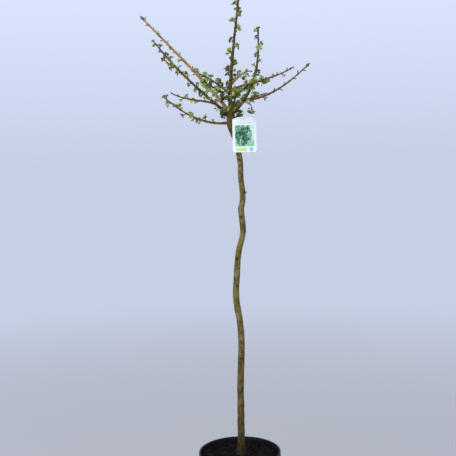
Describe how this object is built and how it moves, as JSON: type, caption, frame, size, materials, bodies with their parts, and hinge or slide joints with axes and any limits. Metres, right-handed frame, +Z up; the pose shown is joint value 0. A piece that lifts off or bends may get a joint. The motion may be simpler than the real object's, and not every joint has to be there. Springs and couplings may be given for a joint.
{
  "type": "dwarf ginkgo standard in a nursery pot",
  "caption": "Young dwarf ginkgo grafted on a tall bare stem, in early leaf, standing in a round black nursery pot with a blank hang tag.",
  "frame": {"origin": "centre of the pot's flat underside, where the plant stands", "axes": "+Z up along the stem, -Y towards the viewer of the reference picture, +X to that viewer's right"},
  "size_m": [0.5242, 0.4485, 1.7837],
  "materials": {
    "pot_plastic": "satin",
    "potting_mix": "matte",
    "bark": "matte",
    "young_bark": "matte",
    "foliage": "satin",
    "tag_card": "gloss",
    "tag_cord": "matte"
  },
  "bodies": {
    "root": {"pot": "pot_plastic", "root_ball": "potting_mix", "trunk": "bark", "bough_leader": "young_bark", "bough_left_long": "young_bark", "bough_left_back": "young_bark", "bough_left_low": "young_bark", "bough_right_tall": "young_bark", "bough_back": "young_bark", "bough_front": "young_bark", "bough_left_front": "young_bark", "bough_front_left": "young_bark", "bough_front_right": "young_bark", "bough_back_left": "young_bark", "bough_right_high": "young_bark", "bough_back_right": "young_bark", "bough_back_low": "young_bark", "bough_right_low": "young_bark", "spray_leader": "foliage", "spray_left_long": "foliage", "spray_left_back": "foliage", "spray_left_low": "foliage", "spray_right_tall": "foliage", "spray_back": "foliage", "spray_front": "foliage", "spray_left_front": "foliage", "spray_front_left": "foliage", "spray_front_right": "foliage", "spray_back_left": "foliage", "spray_right_high": "foliage", "spray_back_right": "foliage", "spray_back_low": "foliage", "spray_right_low": "foliage", "spray_right_drooping": "foliage", "spray_head_front": "foliage", "spray_head_left": "foliage", "spray_head_right": "foliage", "spray_head_back": "foliage", "hang_tag": "tag_card", "tag_cord": "tag_cord"}
  },
  "joints": []
}
